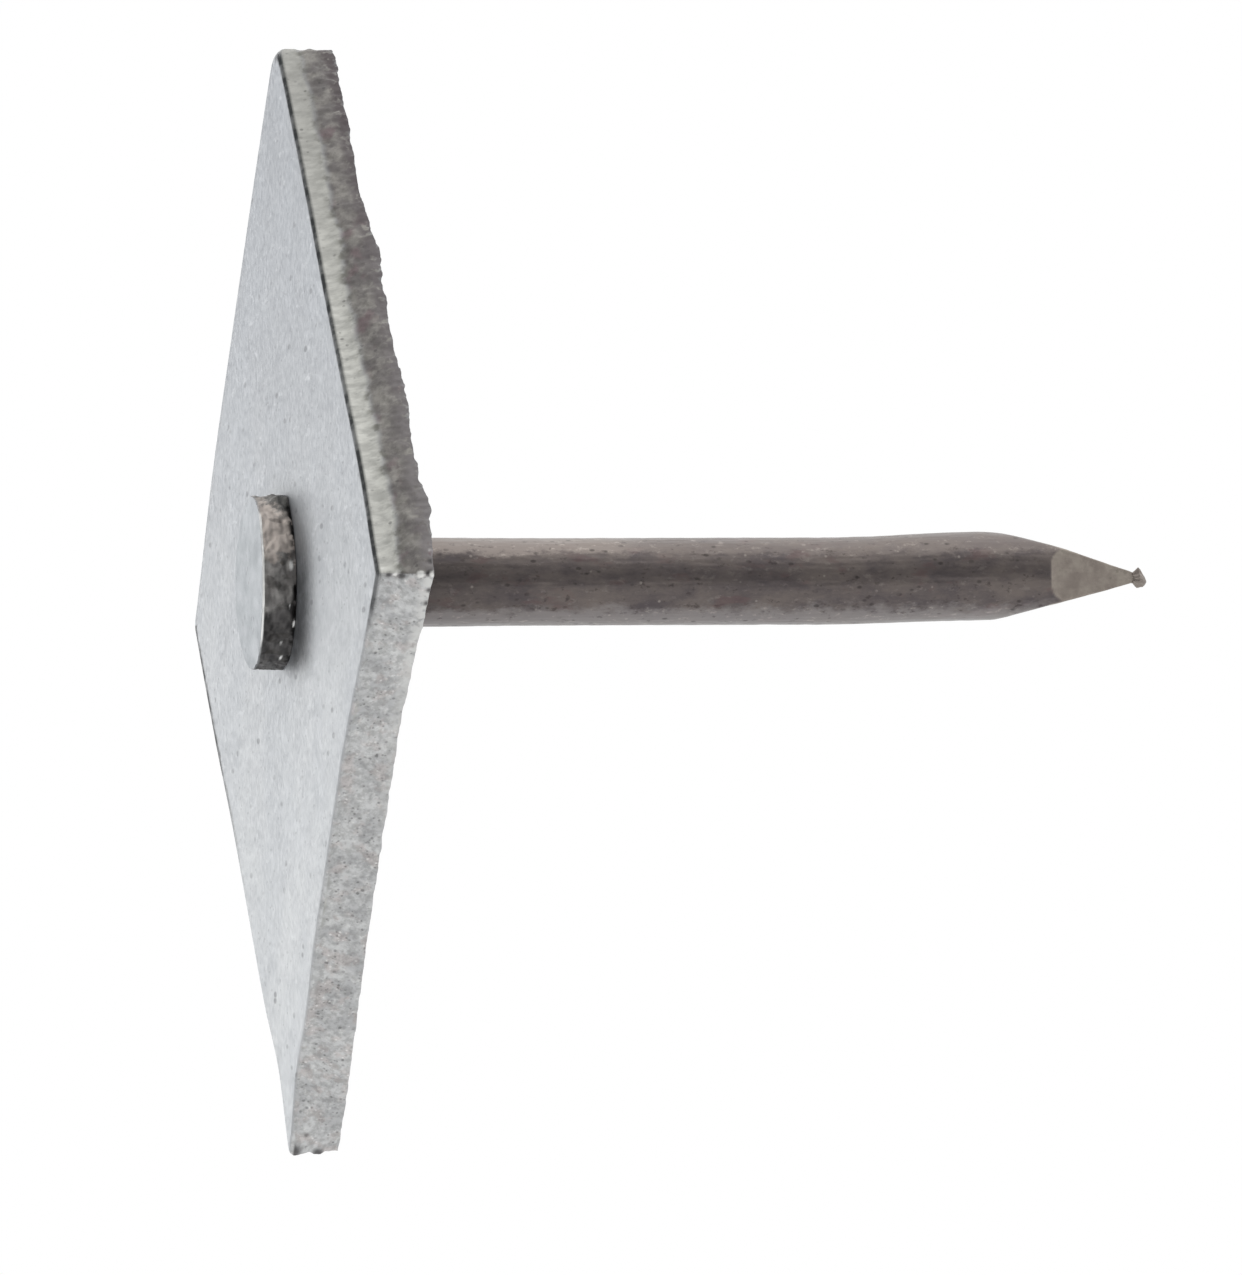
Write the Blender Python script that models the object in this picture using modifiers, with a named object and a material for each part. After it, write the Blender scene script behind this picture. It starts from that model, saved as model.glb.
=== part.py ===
"""A square-plate nail: a round wire nail that carries a loose square steel plate under its head.

The nail lies along +X with its point at +X. The plate stands square to it, with one corner straight up (+Z).
The origin is on the nail's axis, in the plane of the plate's bearing face, where the nail enters the work.
There are two pieces: the nail, whose head, shank and point are one length of wire, and the plate, which
turns on it.
"""

from math import atan2, cos, pi, radians, sin

import bmesh
import bpy
from mathutils import Euler, Matrix

MM = 0.001

# The plate: a square sheared from strip, with a round hole punched a little off its middle.
PLATE_SIDE = 25.4 * MM
PLATE_THICKNESS = 1.6 * MM
PLATE_CORNER_RADIUS = 0.3 * MM
PLATE_TOP_CORNER_RADIUS = 1.0 * MM
PLATE_ROLLOVER = 0.12 * MM
HOLE_OFF_MIDDLE = 0.4 * MM
HOLE_CLEARANCE = 0.08 * MM

# The nail: 11 1/2 gauge wire with a thick flat head.
SHANK_RADIUS = 1.435 * MM
POINT_PAST_PLATE = 26.4 * MM
HEAD_RADIUS = 2.8 * MM
HEAD_THICKNESS = 1.05 * MM
HEAD_EDGE_RADIUS = 0.12 * MM
HEAD_TO_PLATE_GAP = 0.05 * MM

# Its point: long facets above and below, short ones at the sides, and the nub that the cutters leave.
LONG_FACET = 4.6 * MM
SHORT_FACET = 2.9 * MM
POINT_HALF_WIDTH = 0.16 * MM
NUB_LENGTH = 0.45 * MM
NUB_RADII = (0.2 * MM, 0.27 * MM, 0.12 * MM)
NUB_ROOT = 0.15 * MM

ROUND_STEPS = 96
CORNER_STEPS = 6
EDGE_STEPS = 3
NUB_STEPS = 8
CUTTER_SIZE = 8 * MM
HOLE_CUTTER_DEPTH = 5 * MM
MERGE = 1e-7
SHARP = radians(30)

# Every piece is made along its own +Z and then turned so that its +Z becomes +X, and its -X becomes +Z.
ALONG_X = Euler((0, pi / 2, 0))

HEAD_UNDERSIDE = -PLATE_THICKNESS - HEAD_TO_PLATE_GAP


def clear_scene():
    for thing in list(bpy.data.objects):
        bpy.data.objects.remove(thing)


def new_collection(name):
    group = bpy.data.collections.new(name)
    bpy.context.scene.collection.children.link(group)
    return group


def new_object(name, data, group):
    thing = bpy.data.objects.new(name, data)
    group.objects.link(thing)
    return thing


def new_material(name, colour, roughness, metallic):
    finish = bpy.data.materials.new(name)
    finish.use_nodes = True
    shader = finish.node_tree.nodes["Principled BSDF"]
    shader.inputs["Base Color"].default_value = (*colour, 1)
    shader.inputs["Roughness"].default_value = roughness
    shader.inputs["Metallic"].default_value = metallic
    return finish


def mesh_from(shape, name):
    """Ends the bmesh shape and returns it as a mesh."""
    mesh = bpy.data.meshes.new(name)
    shape.to_mesh(mesh)
    shape.free()
    return mesh


def arc(centre, radius, start, end, steps):
    """Points on an arc from the angle start to the angle end, both included."""
    turns = [start + (end - start) * i / steps for i in range(steps + 1)]
    return [(centre[0] + radius * cos(t), centre[1] + radius * sin(t)) for t in turns]


def cutter(name, mesh, group):
    tool = new_object(name, mesh, group)
    tool.hide_render = True
    tool.display_type = "WIRE"
    return tool


def combine(target, tool, operation):
    step = target.modifiers.new(tool.name, "BOOLEAN")
    step.operation = operation
    step.object = tool


# The plate


def plate_outline():
    """The square on its corners, about the middle of the plate, starting at the corner that points down."""
    reach = PLATE_SIDE / 2**0.5
    radii = (PLATE_CORNER_RADIUS, PLATE_CORNER_RADIUS, PLATE_TOP_CORNER_RADIUS, PLATE_CORNER_RADIUS)
    points = []
    for k, radius in enumerate(radii):
        facing = k * pi / 2
        inset = reach - radius * 2**0.5
        centre = (HOLE_OFF_MIDDLE + inset * cos(facing), inset * sin(facing))
        points += arc(centre, radius, facing - pi / 4, facing + pi / 4, CORNER_STEPS)
    return points


def plate_sheet():
    """The outline as a flat curve, filled, as thick as the plate."""
    curve = bpy.data.curves.new("plate_sheet", "CURVE")
    curve.dimensions = "2D"
    curve.fill_mode = "BOTH"
    curve.extrude = PLATE_THICKNESS / 2
    outline = plate_outline()
    spline = curve.splines.new("POLY")
    spline.points.add(len(outline) - 1)
    for point, (x, y) in zip(spline.points, outline, strict=True):
        point.co = (x, y, 0, 1)
    spline.use_cyclic_u = True
    return curve


def welded_mesh(curve, group):
    """The solid of a filled curve as one closed bmesh."""
    holder = new_object(curve.name, curve, group)
    graph = bpy.context.evaluated_depsgraph_get()
    loose = bpy.data.meshes.new_from_object(holder.evaluated_get(graph))
    bpy.data.objects.remove(holder)
    shape = bmesh.new()
    shape.from_mesh(loose)
    bmesh.ops.remove_doubles(shape, verts=shape.verts, dist=MERGE)
    bmesh.ops.recalc_face_normals(shape, faces=shape.faces)
    return shape


def mark_rollover(shape):
    """Marks the outline of the face under the head, where the shear drew the metal in."""
    weight = shape.edges.layers.float.new("bevel_weight_edge")
    for edge in shape.edges:
        under_head = all(vert.co.z < 0 for vert in edge.verts)
        if under_head and edge.calc_face_angle() > SHARP:
            edge[weight] = 1.0


def hole_cutter(group):
    shape = bmesh.new()
    bmesh.ops.create_cone(
        shape,
        cap_ends=True,
        segments=ROUND_STEPS,
        radius1=SHANK_RADIUS + HOLE_CLEARANCE,
        radius2=SHANK_RADIUS + HOLE_CLEARANCE,
        depth=HOLE_CUTTER_DEPTH,
    )
    tool = cutter("hole_cutter", mesh_from(shape, "hole_cutter"), group)
    tool.rotation_euler = ALONG_X
    return tool


def make_plate(parts, cutters):
    shape = welded_mesh(plate_sheet(), parts)
    mark_rollover(shape)
    bmesh.ops.translate(shape, verts=shape.verts, vec=(0, 0, -PLATE_THICKNESS / 2))
    mesh = mesh_from(shape, "square_plate")
    plate = new_object("square_plate", mesh, parts)
    plate.rotation_euler = ALONG_X
    rollover = plate.modifiers.new("rollover", "BEVEL")
    rollover.limit_method = "WEIGHT"
    rollover.width = PLATE_ROLLOVER
    rollover.segments = EDGE_STEPS
    combine(plate, hole_cutter(cutters), "DIFFERENCE")
    mesh.materials.append(new_material("plate_steel", (0.55, 0.58, 0.61), 0.5, 0.8))


# The nail


def nail_profile():
    """The nail's outline from the end of the point down to the middle of the head's struck face."""
    struck_face = HEAD_UNDERSIDE - HEAD_THICKNESS
    round_centre = (HEAD_RADIUS - HEAD_EDGE_RADIUS, struck_face + HEAD_EDGE_RADIUS)
    return [
        (0, POINT_PAST_PLATE),
        (SHANK_RADIUS, POINT_PAST_PLATE),
        (SHANK_RADIUS, HEAD_UNDERSIDE),
        (HEAD_RADIUS, HEAD_UNDERSIDE),
        *arc(round_centre, HEAD_EDGE_RADIUS, 0, -pi / 2, EDGE_STEPS),
        (0, struck_face),
    ]


def profile_mesh(name, profile):
    shape = bmesh.new()
    verts = [shape.verts.new((radius, 0, height)) for radius, height in profile]
    for above, below in zip(verts, verts[1:]):
        shape.edges.new((above, below))
    return mesh_from(shape, name)


def turn(thing, steps):
    screw = thing.modifiers.new("turned", "SCREW")
    screw.steps = steps
    screw.render_steps = steps
    screw.use_smooth_shade = True
    screw.use_merge_vertices = True
    screw.merge_threshold = MERGE


def facet_cutter(name, facing, length, group):
    """A block whose lower face lies on one facet of the point. facing is the facet's side, about the nail."""
    slope = atan2(SHANK_RADIUS - POINT_HALF_WIDTH, length)
    shape = bmesh.new()
    bmesh.ops.create_cube(shape, size=CUTTER_SIZE)
    on_facet = Matrix.Translation((0, 0, CUTTER_SIZE / 2))
    lean = Matrix.Rotation(pi / 2 - slope, 4, "Y")
    end = Matrix.Translation((POINT_HALF_WIDTH, 0, POINT_PAST_PLATE))
    side = Matrix.Rotation(facing, 4, "Z")
    bmesh.ops.transform(shape, matrix=side @ end @ lean @ on_facet, verts=shape.verts)
    tool = cutter(name, mesh_from(shape, name), group)
    tool.rotation_euler = ALONG_X
    return tool


def nub_tool(group):
    """The scrap of wire that the point's cutters leave on its end."""
    root, widest, end = NUB_RADII
    start = POINT_PAST_PLATE - NUB_ROOT
    profile = [
        (0, POINT_PAST_PLATE + NUB_LENGTH),
        (end, POINT_PAST_PLATE + NUB_LENGTH),
        (widest, POINT_PAST_PLATE + NUB_LENGTH / 2),
        (root, start),
        (0, start),
    ]
    tool = cutter("nub", profile_mesh("nub", profile), group)
    turn(tool, NUB_STEPS)
    tool.rotation_euler = ALONG_X
    return tool


def make_nail(parts, cutters):
    mesh = profile_mesh("nail", nail_profile())
    nail = new_object("nail", mesh, parts)
    nail.rotation_euler = ALONG_X
    turn(nail, ROUND_STEPS)
    for k, length in enumerate((LONG_FACET, SHORT_FACET, LONG_FACET, SHORT_FACET)):
        combine(nail, facet_cutter(f"facet_cutter_{k + 1}", k * pi / 2, length, cutters), "DIFFERENCE")
    combine(nail, nub_tool(cutters), "UNION")
    mesh.materials.append(new_material("wire_steel", (0.12, 0.11, 0.105), 0.5, 0.7))


clear_scene()
parts_group = new_collection("square_plate_nail")
cutters_group = new_collection("cutters")
make_plate(parts_group, cutters_group)
make_nail(parts_group, cutters_group)
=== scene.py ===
"""The square plate nail: its sheared steel plate, its forged wire nail, and a plain studio round them."""

from math import cos, pi, radians, sin

import bpy
import numpy as np
from mathutils import Matrix, Vector, noise


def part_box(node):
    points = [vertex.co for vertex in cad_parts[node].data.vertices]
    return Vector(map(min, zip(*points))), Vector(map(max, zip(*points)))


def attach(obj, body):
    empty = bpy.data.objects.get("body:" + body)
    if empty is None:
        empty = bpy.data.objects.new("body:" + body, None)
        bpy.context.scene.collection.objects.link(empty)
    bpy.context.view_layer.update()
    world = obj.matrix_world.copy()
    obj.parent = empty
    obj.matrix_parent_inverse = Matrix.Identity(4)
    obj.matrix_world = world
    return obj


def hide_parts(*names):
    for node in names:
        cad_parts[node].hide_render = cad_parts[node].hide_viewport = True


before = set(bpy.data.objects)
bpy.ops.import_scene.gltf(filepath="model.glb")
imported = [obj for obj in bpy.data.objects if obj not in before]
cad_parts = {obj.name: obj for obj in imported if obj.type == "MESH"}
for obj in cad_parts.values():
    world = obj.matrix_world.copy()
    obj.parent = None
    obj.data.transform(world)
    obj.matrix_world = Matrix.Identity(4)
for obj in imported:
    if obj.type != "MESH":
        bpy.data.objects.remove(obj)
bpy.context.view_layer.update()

MM = 0.001

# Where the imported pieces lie. The nail's axis is the X axis, and the plate's bearing face is at X = 0.
plate_low, plate_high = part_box("square_plate")
nail_low, nail_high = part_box("nail")
PLATE_FRONT = plate_low.x
PLATE_BACK = plate_high.x
HEAD_FACE = nail_low.x
NUB_END = nail_high.x
HEAD_RADIUS = (nail_high.z - nail_low.z) / 2

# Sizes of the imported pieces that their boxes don't give.
PLATE_SIDE = 25.4 * MM
HOLE_OFF_MIDDLE = 0.4 * MM
HOLE_RADIUS = 1.515 * MM
SHANK_RADIUS = 1.435 * MM
POINT_END = 26.4 * MM
LONG_FACET = 4.6 * MM
POINT_HALF_WIDTH = 0.16 * MM
# The side facets start 0.15 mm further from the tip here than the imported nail's do.
SHORT_FACET = 3.05 * MM

# Edges that turn by more than this stay hard.
SHARP = radians(50)


# Numbers and noise


def smoothstep(low, high, value):
    share = np.clip((value - low) / (high - low), 0, 1)
    return share * share * (3 - 2 * share)


def mix(a, b, share):
    return a + (b - a) * share


def bump_noise(points, size, depth=3, stretch=(1, 1, 1), shift=0):
    """Smooth noise from about -1 to 1 at each point. size is the width of its largest features."""
    scale = np.array(stretch) * size
    flat = (points / scale).reshape(-1, 3) + shift
    values = [noise.fractal(Vector(p), 1.0, 2.0, depth) for p in flat]
    return np.array(values).reshape(points.shape[:-1])


# Meshes


def closed_surface(name, rows, wrap_rows):
    """A mesh from rows of points, each row a closed ring.

    With wrap_rows the last row joins the first, as on a ring-shaped body. Otherwise a fan closes each end.
    """
    count, around = rows.shape[:2]
    index = np.arange(count * around).reshape(count, around)
    after = np.roll(index, -1, axis=1)
    if wrap_rows:
        upper, lower = index, np.roll(index, -1, axis=0)
        upper_after, lower_after = after, np.roll(after, -1, axis=0)
    else:
        upper, lower = index[:-1], index[1:]
        upper_after, lower_after = after[:-1], after[1:]
    quads = np.stack([upper, lower, lower_after, upper_after], axis=-1).reshape(-1, 4)
    points = rows.reshape(-1, 3)
    faces = quads.tolist()
    if not wrap_rows:
        for ring, pole, turned in ((0, count * around, False), (count - 1, count * around + 1, True)):
            points = np.vstack([points, rows[ring].mean(axis=0)])
            for a, b in zip(index[ring], after[ring]):
                faces.append([int(b), int(a), pole][:: -1 if turned else 1])
    mesh = bpy.data.meshes.new(name)
    mesh.from_pydata(points.tolist(), [], faces)
    mesh.validate()
    mesh.update()
    return mesh


def paint(mesh, name, values):
    """Keeps a number for each point, for the material to read."""
    layer = mesh.attributes.new(name, "FLOAT", "POINT")
    full = np.zeros(len(mesh.vertices))
    full[: values.size] = values.ravel()
    layer.data.foreach_set("value", full)


def add_piece(name, mesh, material, body, node):
    """One visible piece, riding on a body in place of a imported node."""
    piece = bpy.data.objects.new(name, mesh)
    bpy.context.scene.collection.objects.link(piece)
    mesh.materials.append(material)
    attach(piece, body)
    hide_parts(node)


# Shader nodes


class Shader:
    """A material's node tree, with short calls for the nodes that this script uses."""

    def __init__(self, name):
        self.material = bpy.data.materials.new(name)
        self.material.use_nodes = True
        self.tree = self.material.node_tree
        self.surface = self.tree.nodes["Principled BSDF"]
        self.place = self.tree.nodes.new("ShaderNodeTexCoord").outputs["Object"]

    def node(self, kind, **settings):
        made = self.tree.nodes.new(kind)
        for key, value in settings.items():
            setattr(made, key, value)
        return made

    def feed(self, socket, value):
        if isinstance(value, bpy.types.NodeSocket):
            self.tree.links.new(value, socket)
        else:
            socket.default_value = value

    def along(self, axis):
        """How far each point lies along an axis of the shared frame."""
        place = self.node("ShaderNodeSeparateXYZ")
        self.feed(place.inputs["Vector"], self.place)
        return place.outputs[axis]

    def from_nail(self):
        """How far each point is from the nail's axis."""
        y, z = self.along("Y"), self.along("Z")
        return self.maths("SQRT", self.maths("ADD", self.times(y, y), self.times(z, z)))

    def attribute(self, name):
        return self.node("ShaderNodeAttribute", attribute_name=name).outputs["Fac"]

    def noise(self, size, detail=3, roughness=0.55, stretch=(1, 1, 1)):
        """Noise from 0 to 1 with features about size metres wide, made longer along each axis by stretch."""
        mapping = self.node("ShaderNodeMapping")
        self.feed(mapping.inputs["Vector"], self.place)
        mapping.inputs["Scale"].default_value = [1 / (size * s) for s in stretch]
        made = self.node("ShaderNodeTexNoise")
        self.feed(made.inputs["Vector"], mapping.outputs["Vector"])
        made.inputs["Scale"].default_value = 1
        made.inputs["Detail"].default_value = detail
        made.inputs["Roughness"].default_value = roughness
        return made.outputs["Fac"]

    def specks(self, spacing, width, strength, stretch=(1, 1, 1), shift=0):
        """Small round marks up to strength, about spacing apart and width of that across, in clusters."""
        mapping = self.node("ShaderNodeMapping")
        self.feed(mapping.inputs["Vector"], self.place)
        mapping.inputs["Scale"].default_value = [1 / (spacing * s) for s in stretch]
        mapping.inputs["Location"].default_value = (shift, shift, shift)
        made = self.node("ShaderNodeTexVoronoi")
        self.feed(made.inputs["Vector"], mapping.outputs["Vector"])
        made.inputs["Scale"].default_value = 1
        marks = self.between(made.outputs["Distance"], width * 0.6, width * 1.3, strength, 0)
        return self.maths("MULTIPLY", marks, self.between(self.noise(spacing * 3, 3), 0.45, 0.6))

    def between(self, value, low, high, start=0.0, end=1.0):
        """value, carried smoothly from low..high to start..end and held there."""
        made = self.node("ShaderNodeMapRange", interpolation_type="SMOOTHSTEP")
        self.feed(made.inputs["Value"], value)
        for key, number in (("From Min", low), ("From Max", high), ("To Min", start), ("To Max", end)):
            made.inputs[key].default_value = number
        return made.outputs["Result"]

    def maths(self, operation, *values):
        made = self.node("ShaderNodeMath", operation=operation)
        for socket, value in zip(made.inputs, values):
            self.feed(socket, value)
        return made.outputs["Value"]

    def times(self, first, *others):
        """The product of some values."""
        for other in others:
            first = self.maths("MULTIPLY", first, other)
        return first

    def blend(self, share, a, b):
        """Colour a, with share of colour b over it."""
        made = self.node("ShaderNodeMix", data_type="RGBA")
        self.feed(made.inputs["Factor"], share)
        self.feed(made.inputs["A"], (*a, 1) if isinstance(a, tuple) else a)
        self.feed(made.inputs["B"], (*b, 1) if isinstance(b, tuple) else b)
        return made.outputs["Result"]

    def bump(self, height, distance, strength):
        made = self.node("ShaderNodeBump")
        self.feed(made.inputs["Height"], height)
        made.inputs["Distance"].default_value = distance
        made.inputs["Strength"].default_value = strength
        return made.outputs["Normal"]


def srgb(code):
    """The linear colour of a hexadecimal screen colour."""
    parts = [int(code[i : i + 2], 16) / 255 for i in (0, 2, 4)]
    return tuple(c / 12.92 if c <= 0.04045 else ((c + 0.055) / 1.055) ** 2.4 for c in parts)


# The plate


CORNERS = 4
NEAR_CORNER = 1

# How finely the plate's skin is divided: points along a side, and rows across each part of it.
STEPS_A_SIDE = 400
FACE_ROWS = 13
ROLLOVER_ROWS = 6
WALL_ROWS = 26
BACK_ROWS = 10
LAST_FACE_STEP = 0.006
FIRST_BACK_STEP = 0.008
HOLE_SHARES = (0.3, 0.6, 0.9)

# The edge that the shears rolled over, which is rounder at the top corner, and the burr on the bearing face.
ROLLOVER_WIDTH = 0.16 * MM
ROLLOVER_DEPTH = 0.10 * MM
TOP_ROLLOVER_WIDTH = 0.30 * MM
TOP_ROLLOVER_DEPTH = 0.32 * MM
TOP_ROLLOVER_SIZE = 0.7 * MM
BURR_WIDTH = 0.1 * MM
BURR_LEAN = 0.012 * MM
LOWEST_BURR = 0.01

# Dirt and painted shade: how deep they lie on the rolled-over edge, and where their smear starts on the way
# out from the hole.
DARK_EDGE_DEPTH = 0.09 * MM
SMEAR_START = 0.982
SMEAR_WANDER = 0.015
SMEAR_SOFTNESS = 0.006
SMEAR_STRENGTH = 0.9

# The near side is bent towards the head, from this far out, and in full between two shares of its length.
PLATE_BEND = 0.21 * MM
PLATE_BEND_START = 4.0 * MM
PLATE_BEND_RISE = 0.35
PLATE_BEND_FALL = 0.6

# The wall's bumps in mm: large and small ones on the torn metal, how far that lies back, and drawn lines.
TORN_COARSE = 0.06
TORN_FINE = 0.03
TORN_BACK = 0.03
DRAWN_LINES = 0.008

# The border between the rubbed and the torn metal, as shares of the thickness: how far it wanders over long
# and short lengths, how soft it is on either side, and how wide the painted shade on it is.
BORDER_WANDER = 0.10
BORDER_RAGGED = 0.03
BORDER_BEFORE = 0.07
BORDER_AFTER = 0.09
BORDER_WIDTH = 0.09

# The shares of the thickness between which the burr's stain grows.
STAIN_START = 0.72
STAIN_END = 0.95

# The shear left the four sides unlike each other. Each is named for the corner that it starts at: top runs
# from the top corner to the near one (-Y), near to the bottom one, bottom to the far one (+Y), and far back.
# front, back: how far the edge under the head and the edge on the bearing face lie outside the true square,
#     in mm, at evenly spaced places along the side.
# burr: how far the burr stands off the bearing face, in mm, at evenly spaced places.
# dark_edge, bright_burr: how much dirt and painted shade lie along the rolled-over edge and how bare the
#     burr is, at the side's start and end. Each changes evenly between them and is held between 0 and 1.
# burnish: the share of the thickness that the blade rubbed smooth.
# pale: how clean the broken metal is.
# smear: how strongly the edge's dirt and painted shade are smeared onto the face.
SIDES = {
    "top": {
        "front": (-0.33, -0.2, -0.15, -0.2, -0.12, -0.03, -0.4),
        "back": (-0.1, 0.15, 0.25, 0.3, 0.38, 0.45, 0.5, 0.5, 0.45, 0.4, 0.16),
        "burr": (0.15, 0.10, 0.07, 0.02, 0.20, 0.13, 0.07, 0.16, 0.07, 0.20, 0.02),
        "dark_edge": (1.0, 1.0),
        "bright_burr": (0.0, 0.2),
        "burnish": 0.44,
        "pale": 0.0,
        "smear": 0.0,
    },
    "near": {
        "front": (-0.35, -0.3, -0.3, -0.25, -0.15, -0.1, 0.01, -0.43, 0.1),
        "back": (0.27, -0.2, -0.15, 0.0, 0.19, 0.06, -0.15),
        "burr": (0.02, 0.03, 0.03, 0.02, 0.03),
        "dark_edge": (1.8, -15.0),
        "bright_burr": (1.0, -1.0),
        "burnish": 0.05,
        "pale": 1.0,
        "smear": 0.0,
    },
    "bottom": {
        "front": (-0.1, -0.64, -0.27, -0.18, -0.15, -0.05, 0.2, 0.3, 0.35),
        "back": (0.14, -0.1, 0.05, 0.2, 0.3),
        "burr": (0.03, 0.02, 0.04, 0.02, 0.03),
        "dark_edge": (-1.5, 1.83),
        "bright_burr": (0.0, 0.0),
        "burnish": 0.35,
        "pale": 0.6,
        "smear": 1.0,
    },
    "far": {
        "front": (-0.1, 0.5, 0.55, 0.5, 0.37),
        "back": (-0.1, 0.3, 0.45, 0.3, -0.35),
        "burr": (0.03, 0.04, 0.02, 0.05, 0.15),
        "dark_edge": (0.3, 0.3),
        "bright_burr": (0.0, 0.0),
        "burnish": 0.35,
        "pale": 0.3,
        "smear": 0.3,
    },
}
# How far from each corner its rounding starts, in mm, under the head and on the bearing face.
CORNER_REACH = ((1.15, 0.35), (0.12, 0.2), (0.2, 0.35), (0.3, 0.3))

# Dark lumps and bare chips near the corners: the corner's number in the order of SIDES, how far above it
# in mm, the share of the thickness from the head's side, the radius in mm, and how far it stands out in mm.
DARK_SPOTS = (
    (1, 0.05, 0.02, 0.10, 0.01), (1, -0.02, 0.24, 0.10, -0.03), (1, -0.05, 0.47, 0.12, -0.03),
    (1, 0.02, 0.92, 0.10, 0.0), (1, 0.35, 1.0, 0.14, 0.03), (1, 1.2, 1.0, 0.14, 0.05),
    (1, -0.5, 1.0, 0.12, 0.0), (1, -0.9, 1.0, 0.14, 0.0),
    (2, 0.10, 0.06, 0.30, 0.05), (2, 0.03, 0.60, 0.20, 0.05), (2, 0.55, 0.3, 0.1, 0.0),
)
CHIPS = (
    (1, 0.10, 0.13, 0.09, 0.02), (1, 0.02, 0.35, 0.07, 0.02), (1, 0.0, 0.78, 0.11, 0.04),
    (0, -0.3, 0.24, 0.09, 0.02), (1, 0.95, 1.0, 0.08, 0.04), (1, 0.66, 1.0, 0.12, 0.06),
    (1, 0.0, 1.0, 0.09, 0.03),
)
# A spot starts at the first share of its radius and is full inside the second.
SPOT_FADE = (1.4, 0.5)

# The share of the way along a side at which each of its points lies.
SIDE_SHARES = (np.arange(STEPS_A_SIDE) + 0.5) / STEPS_A_SIDE


def along_stations(values, share):
    """A smooth line through evenly spaced values, read at each share of the way along them."""
    values = np.array(values)
    last = len(values) - 1
    place = share * last
    i = np.clip(np.floor(place).astype(int), 0, last - 1)
    t = place - i
    before, start = values[np.maximum(i - 1, 0)], values[i]
    end, after = values[i + 1], values[np.minimum(i + 2, last)]
    curve = 2 * start + (end - before) * t + (2 * before - 5 * start + 4 * end - after) * t**2
    return 0.5 * (curve + (3 * start - before - 3 * end + after) * t**3)


def side_facing(k):
    """The outward direction of side k, as (y, z)."""
    turn = 3 * pi / 4 + k * pi / 2
    return np.array([cos(turn), sin(turn)])


def corner_places(edge):
    """The plate's corners as (y, z) in the order of SIDES, before they are rounded. edge is front or back."""
    reach = PLATE_SIDE / 2**0.5
    offsets = [np.array(side[edge]) * MM for side in SIDES.values()]
    places = []
    for k in range(CORNERS):
        turn = pi / 2 + k * pi / 2
        corner = np.array([0, -HOLE_OFF_MIDDLE]) + reach * np.array([cos(turn), sin(turn)])
        corner += side_facing(k) * offsets[k][0] + side_facing(k - 1) * offsets[k - 1][-1]
        places.append(corner)
    return places


def rounded(points, from_corner, reach, corner, forward, sideways):
    """Moves the points within reach of a corner onto its rounding, whose other half starts along sideways."""
    near = from_corner < reach
    way = (0.5 + 0.5 * from_corner[near] / reach)[:, None]
    here, there = corner + forward * reach, corner + sideways * reach
    curve = (1 - way) ** 2 * there + 2 * way * (1 - way) * corner + way**2 * here
    points[near] += curve - (corner + from_corner[near][:, None] * forward)


def side_points(k, places, edge):
    """Points along side k, from the middle of one corner's rounding to the middle of the next one's."""
    start, end = places[k], places[(k + 1) % CORNERS]
    length = np.linalg.norm(end - start)
    forward = (end - start) / length
    outward = np.array([forward[1], -forward[0]])
    offsets = np.array(list(SIDES.values())[k][edge])
    stands_out = along_stations(offsets, SIDE_SHARES) - mix(offsets[0], offsets[-1], SIDE_SHARES)
    points = start + np.outer(SIDE_SHARES * length, forward) + np.outer(stands_out * MM, outward)
    which = ("front", "back").index(edge)
    for at_start, corner, other in ((True, k, k - 1), (False, (k + 1) % CORNERS, (k + 2) % CORNERS)):
        place = places[corner]
        sideways = (places[other] - place) / np.linalg.norm(places[other] - place)
        from_corner = (SIDE_SHARES if at_start else 1 - SIDE_SHARES) * length
        along = forward if at_start else -forward
        rounded(points, from_corner, CORNER_REACH[corner][which] * MM, place, along, sideways)
    return points


def outline(edge):
    """The plate's outline as (y, z) points. edge is front or back."""
    places = corner_places(edge)
    return np.vstack([side_points(k, places, edge) for k in range(CORNERS)])


def outward_of(ring):
    """The outward direction at each point of an outline."""
    forward = np.roll(ring, -2, axis=0) - np.roll(ring, 2, axis=0)
    across = np.stack([forward[:, 1], -forward[:, 0]], axis=1)
    return across / np.linalg.norm(across, axis=1)[:, None]


def near_corner(ring, corner, size):
    """1 at a corner of the outline, falling to 0 about size away from it."""
    distance = np.linalg.norm(ring - ring[corner * STEPS_A_SIDE], axis=1)
    return np.exp(-((distance / size) ** 2))


def spots_on(ring, spots):
    """How strongly the spots cover each point of a ring on the wall, and how far they lift it.

    The sides run at 45 degrees from a corner, so a spot above or below one is moved sideways as far.
    """
    cover, lift = np.zeros(len(ring)), np.zeros(len(ring))
    for corner, above, depth, radius, stands_out in spots:
        y, z = ring[corner * STEPS_A_SIDE, 1:]
        sideways = abs(above) * MM * (1 if corner == NEAR_CORNER else -1)
        place = np.array([mix(PLATE_FRONT, PLATE_BACK, depth), y + sideways, z + above * MM])
        away = np.linalg.norm(ring - place, axis=1) / (radius * MM)
        here = smoothstep(*SPOT_FADE, away)
        cover = np.maximum(cover, here)
        lift += here * stands_out * MM
    return cover, lift


def ring_at(flat, height):
    """A ring of points in space, from (y, z) points and an X for each of them or for all."""
    return np.column_stack([np.broadcast_to(height, len(flat)), flat])


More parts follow.
